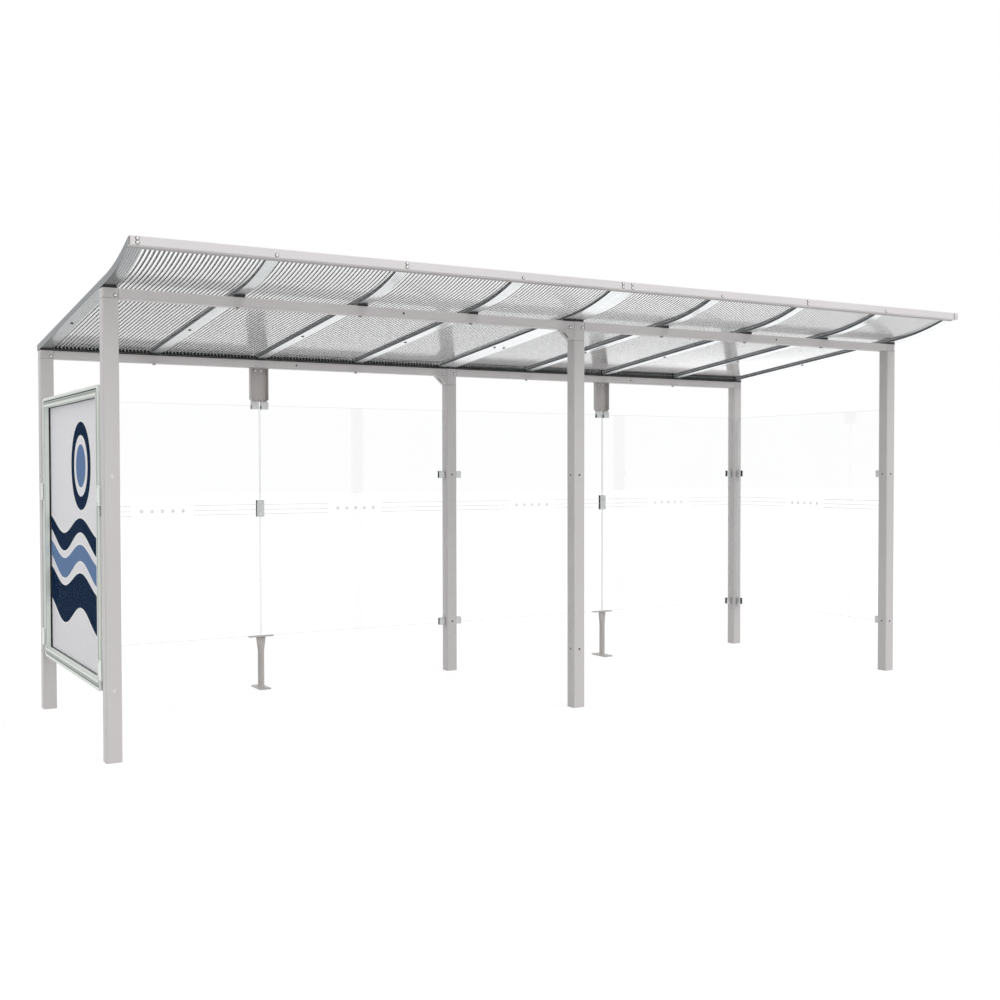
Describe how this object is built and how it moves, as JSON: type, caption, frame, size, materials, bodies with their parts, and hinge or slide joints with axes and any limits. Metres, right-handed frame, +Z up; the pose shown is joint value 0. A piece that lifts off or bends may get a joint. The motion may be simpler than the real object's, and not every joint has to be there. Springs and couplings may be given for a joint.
{
  "type": "bus shelter",
  "caption": "Open-front bus shelter with square posts, a bent ribbed clear roof on glazing bars, clipped glass rear and end walls and a poster case at one end.",
  "frame": {"origin": "on the ground under the middle of the whole outline, roof and feet together", "axes": "+X along the length, from the poster case end to the glazed end; +Y from the open front to the rear wall; +Z up"},
  "size_m": [5, 2.07, 2.2592],
  "materials": {
    "painted_frame": "smooth satin powder coat",
    "bar_aluminium": "bright extruded",
    "roof_sheet": "clear ribbed polycarbonate",
    "glass": "clear toughened",
    "clip_zinc": "satin cast zinc",
    "pad_rubber": "matt",
    "closer_grey": "dark anodised",
    "case_aluminium": "satin anodised",
    "case_back": "satin",
    "poster": "printed on board"
  },
  "bodies": {
    "root": {"beam_front_left": "painted_frame", "beam_front_right": "painted_frame", "beam_rear_left": "painted_frame", "beam_rear_right": "painted_frame", "case_back": "case_back", "case_door": "case_aluminium", "case_frame": "case_aluminium", "case_lugs": "case_aluminium", "case_pane": "glass", "fascia_left": "painted_frame", "fascia_right": "painted_frame", "glass_clips_end": "clip_zinc", "glass_clips_rear": "clip_zinc", "glass_end": "glass", "glass_feet": "painted_frame", "glass_rear_1": "glass", "glass_rear_2": "glass", "glass_rear_3": "glass", "glass_rear_4": "glass", "glazing_bar_1": "bar_aluminium", "glazing_bar_10": "bar_aluminium", "glazing_bar_2": "bar_aluminium", "glazing_bar_3": "bar_aluminium", "glazing_bar_4": "bar_aluminium", "glazing_bar_5": "bar_aluminium", "glazing_bar_6": "bar_aluminium", "glazing_bar_7": "bar_aluminium", "glazing_bar_8": "bar_aluminium", "glazing_bar_9": "bar_aluminium", "gussets": "painted_frame", "hanger_clips": "clip_zinc", "hangers": "painted_frame", "joint_clips": "clip_zinc", "post_front_left": "painted_frame", "post_front_middle": "painted_frame", "post_front_right": "painted_frame", "post_heads": "painted_frame", "post_rear_left": "painted_frame", "post_rear_middle": "painted_frame", "post_rear_right": "painted_frame", "poster_board": "poster", "roof_sheet_1": "roof_sheet", "roof_sheet_2": "roof_sheet", "roof_sheet_3": "roof_sheet", "roof_sheet_4": "roof_sheet", "roof_sheet_5": "roof_sheet", "roof_sheet_6": "roof_sheet", "roof_sheet_7": "roof_sheet", "roof_sheet_8": "roof_sheet", "sheet_closers": "closer_grey", "wedge_pads_front": "pad_rubber", "wedge_pads_rear": "pad_rubber"}
  },
  "joints": []
}
